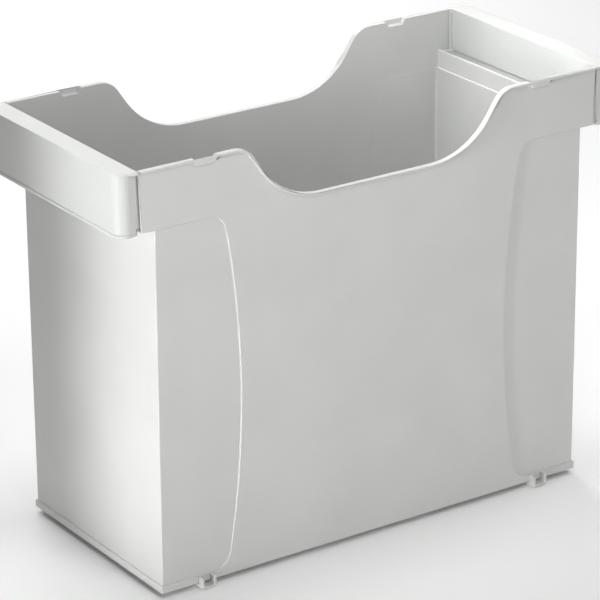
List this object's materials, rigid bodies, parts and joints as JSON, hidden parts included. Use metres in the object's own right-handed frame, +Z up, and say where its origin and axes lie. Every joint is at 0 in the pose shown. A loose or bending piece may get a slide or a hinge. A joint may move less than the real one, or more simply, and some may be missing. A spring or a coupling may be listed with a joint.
{
  "type": "suspension file box",
  "caption": "Open-topped desk box for A4 suspension files: tapered tub with hand scoops and hanging rails, draw-off end handles and clip-in feet.",
  "frame": {"origin": "on the surface the box stands on, under the middle of the box", "axes": "+X along the box towards its right end handle, +Y towards its back, +Z up"},
  "size_m": [0.383, 0.169, 0.2903],
  "materials": {
    "tub_plastic": "fine matt polystyrene, pale grey",
    "handle_plastic": "fine matt polystyrene, pale grey",
    "foot_plastic": "fine matt polystyrene, pale grey"
  },
  "bodies": {
    "tub": {"file_tub": "tub_plastic", "front_left_foot": "foot_plastic", "front_right_foot": "foot_plastic", "back_left_foot": "foot_plastic", "back_right_foot": "foot_plastic"},
    "left_handle": {"left_end_handle": "handle_plastic"},
    "right_handle": {"right_end_handle": "handle_plastic"}
  },
  "joints": [
    {"name": "left_handle_slide", "type": "slide", "parent": "tub", "child": "left_handle", "axis": [-1, 0, 0], "range_m": [0, 0.009]},
    {"name": "right_handle_slide", "type": "slide", "parent": "tub", "child": "right_handle", "axis": [1, 0, 0], "range_m": [0, 0.009]}
  ]
}
